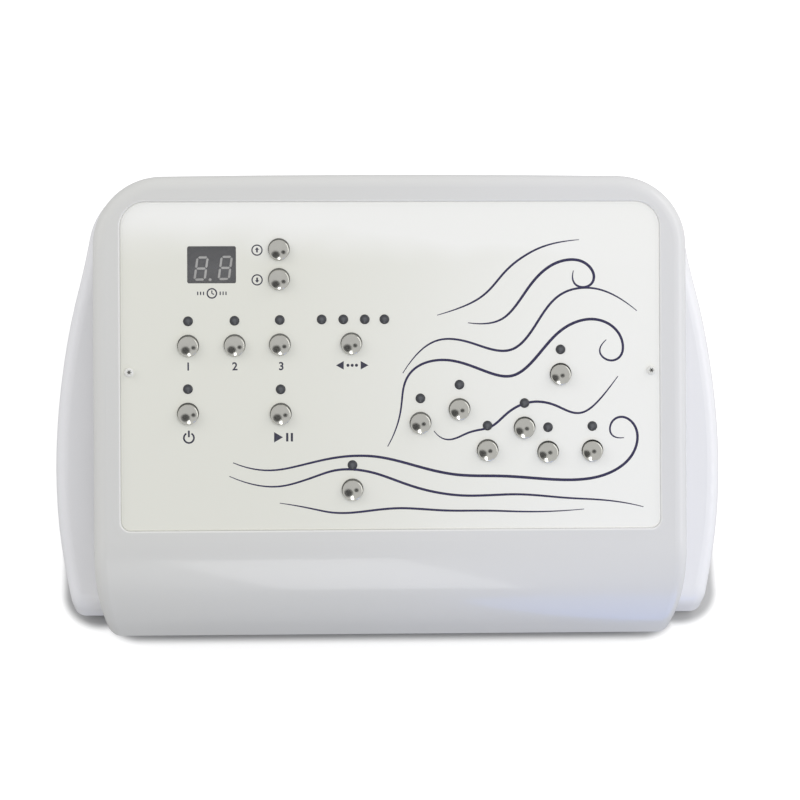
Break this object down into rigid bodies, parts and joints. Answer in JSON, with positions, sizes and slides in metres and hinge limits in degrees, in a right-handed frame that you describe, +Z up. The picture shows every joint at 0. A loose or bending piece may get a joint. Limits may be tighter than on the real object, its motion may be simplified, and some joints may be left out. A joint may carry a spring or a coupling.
{
  "type": "compression therapy pump",
  "caption": "Desktop air pump console for compression therapy garments: a sloping hooded control panel with chrome push buttons over a wedge-shaped case, and hose nipples at the rear.",
  "frame": {"origin": "under the middle of the console's box, on the surface that it stands on", "axes": "+X to the operator's right, +Y to the rear, +Z up; the operator sits at -Y"},
  "size_m": [0.3536, 0.2222, 0.1593],
  "materials": {
    "cover_plastic": "fine spark-eroded moulding, light grey",
    "case_plastic": "fine spark-eroded moulding, light grey",
    "panel_acrylic": "satin printed sheet, pale grey",
    "chrome": "bright chrome plate",
    "light_lens": "smoked lens",
    "smoked_window": "smoked acrylic",
    "display_black": "matt black with grey segments",
    "steel": "zinc-plated",
    "rubber": "matt black",
    "plate_metal": "powder-coated light grey",
    "black_plastic": "matt black",
    "brass": "tinned brass",
    "board_green": "solder resist",
    "part_black": "moulded components",
    "core_steel": "varnished laminations",
    "winding": "taped winding",
    "pump_alloy": "die-cast",
    "manifold_white": "moulded",
    "tube_clear": "soft clear tube",
    "lead_brown": "insulated wire",
    "ribbon_grey": "flat cable",
    "magnet": "nickel-plated magnet and rod"
  },
  "bodies": {
    "console": {"air_sockets": "manifold_white", "air_tubes": "tube_clear", "base_screws": "steel", "board_parts": "part_black", "board_screws": "steel", "bottom_cover": "case_plastic", "bracket_screws": "steel", "control_panel": "panel_acrylic", "cover_screws": "steel", "display_module": "display_black", "display_window": "smoked_window", "fan_frame": "black_plastic", "fan_guard": "chrome", "fan_screws": "steel", "feet": "rubber", "fitting_screws": "steel", "front_cover": "cover_plastic", "indicator_lights": "light_lens", "main_board": "board_green", "main_case": "case_plastic", "mains_leads": "lead_brown", "panel_board": "board_green", "panel_screws": "steel", "power_inlet": "black_plastic", "power_switch_frame": "black_plastic", "power_terminals": "brass", "pump_coils": "winding", "pump_heads": "part_black", "pump_housing": "pump_alloy", "pump_lid": "pump_alloy", "pump_mounts": "rubber", "pump_screws": "steel", "rear_panel": "plate_metal", "rear_panel_screws": "steel", "ribbon_cable": "ribbon_grey", "solenoid_valves": "part_black", "switch_bodies": "part_black", "transformer_bracket": "steel", "transformer_coil": "winding", "transformer_core": "core_steel", "valve_manifold": "manifold_white"},
    "timer_up_button": {"timer_up_button": "chrome"},
    "timer_down_button": {"timer_down_button": "chrome"},
    "large_size_button": {"large_size_button": "chrome"},
    "medium_size_button": {"medium_size_button": "chrome"},
    "small_size_button": {"small_size_button": "chrome"},
    "select_button": {"select_button": "chrome"},
    "power_button": {"power_button": "chrome"},
    "start_button": {"start_button": "chrome"},
    "zone_1_button": {"zone_1_button": "chrome"},
    "zone_2_button": {"zone_2_button": "chrome"},
    "zone_3_button": {"zone_3_button": "chrome"},
    "zone_4_button": {"zone_4_button": "chrome"},
    "zone_5_button": {"zone_5_button": "chrome"},
    "zone_6_button": {"zone_6_button": "chrome"},
    "zone_7_button": {"zone_7_button": "chrome"},
    "zone_8_button": {"zone_8_button": "chrome"},
    "rocker": {"power_switch_rocker": "black_plastic"},
    "fan_rotor": {"fan_rotor": "part_black"},
    "armature": {"pump_armature": "magnet"}
  },
  "joints": [
    {"name": "timer_up_button_press", "type": "slide", "parent": "console", "child": "timer_up_button", "axis": [0, 0.5, -0.866], "range_m": [0, 0.0015], "stiffness_N_per_m": 600, "springref_m": -0.0005},
    {"name": "timer_down_button_press", "type": "slide", "parent": "console", "child": "timer_down_button", "axis": [0, 0.5, -0.866], "range_m": [0, 0.0015], "stiffness_N_per_m": 600, "springref_m": -0.0005},
    {"name": "large_size_button_press", "type": "slide", "parent": "console", "child": "large_size_button", "axis": [0, 0.5, -0.866], "range_m": [0, 0.0015], "stiffness_N_per_m": 600, "springref_m": -0.0005},
    {"name": "medium_size_button_press", "type": "slide", "parent": "console", "child": "medium_size_button", "axis": [0, 0.5, -0.866], "range_m": [0, 0.0015], "stiffness_N_per_m": 600, "springref_m": -0.0005},
    {"name": "small_size_button_press", "type": "slide", "parent": "console", "child": "small_size_button", "axis": [0, 0.5, -0.866], "range_m": [0, 0.0015], "stiffness_N_per_m": 600, "springref_m": -0.0005},
    {"name": "select_button_press", "type": "slide", "parent": "console", "child": "select_button", "axis": [0, 0.5, -0.866], "range_m": [0, 0.0015], "stiffness_N_per_m": 600, "springref_m": -0.0005},
    {"name": "power_button_press", "type": "slide", "parent": "console", "child": "power_button", "axis": [0, 0.5, -0.866], "range_m": [0, 0.0015], "stiffness_N_per_m": 600, "springref_m": -0.0005},
    {"name": "start_button_press", "type": "slide", "parent": "console", "child": "start_button", "axis": [0, 0.5, -0.866], "range_m": [0, 0.0015], "stiffness_N_per_m": 600, "springref_m": -0.0005},
    {"name": "zone_1_button_press", "type": "slide", "parent": "console", "child": "zone_1_button", "axis": [0, 0.5, -0.866], "range_m": [0, 0.0015], "stiffness_N_per_m": 600, "springref_m": -0.0005},
    {"name": "zone_2_button_press", "type": "slide", "parent": "console", "child": "zone_2_button", "axis": [0, 0.5, -0.866], "range_m": [0, 0.0015], "stiffness_N_per_m": 600, "springref_m": -0.0005},
    {"name": "zone_3_button_press", "type": "slide", "parent": "console", "child": "zone_3_button", "axis": [0, 0.5, -0.866], "range_m": [0, 0.0015], "stiffness_N_per_m": 600, "springref_m": -0.0005},
    {"name": "zone_4_button_press", "type": "slide", "parent": "console", "child": "zone_4_button", "axis": [0, 0.5, -0.866], "range_m": [0, 0.0015], "stiffness_N_per_m": 600, "springref_m": -0.0005},
    {"name": "zone_5_button_press", "type": "slide", "parent": "console", "child": "zone_5_button", "axis": [0, 0.5, -0.866], "range_m": [0, 0.0015], "stiffness_N_per_m": 600, "springref_m": -0.0005},
    {"name": "zone_6_button_press", "type": "slide", "parent": "console", "child": "zone_6_button", "axis": [0, 0.5, -0.866], "range_m": [0, 0.0015], "stiffness_N_per_m": 600, "springref_m": -0.0005},
    {"name": "zone_7_button_press", "type": "slide", "parent": "console", "child": "zone_7_button", "axis": [0, 0.5, -0.866], "range_m": [0, 0.0015], "stiffness_N_per_m": 600, "springref_m": -0.0005},
    {"name": "zone_8_button_press", "type": "slide", "parent": "console", "child": "zone_8_button", "axis": [0, 0.5, -0.866], "range_m": [0, 0.0015], "stiffness_N_per_m": 600, "springref_m": -0.0005},
    {"name": "power_switch_rock", "type": "hinge", "parent": "console", "child": "rocker", "pos_m": [0.065, 0.0997, 0.044], "axis": [1, 0, 0], "range_deg": [0, 14]},
    {"name": "fan_spin", "type": "hinge", "parent": "console", "child": "fan_rotor", "pos_m": [-0.094, 0.0896, 0.05], "axis": [0, 1, 0], "continuous": true},
    {"name": "armature_stroke", "type": "slide", "parent": "console", "child": "armature", "axis": [1, 0, 0], "range_m": [-0.0015, 0.0015], "stiffness_N_per_m": 4000}
  ]
}
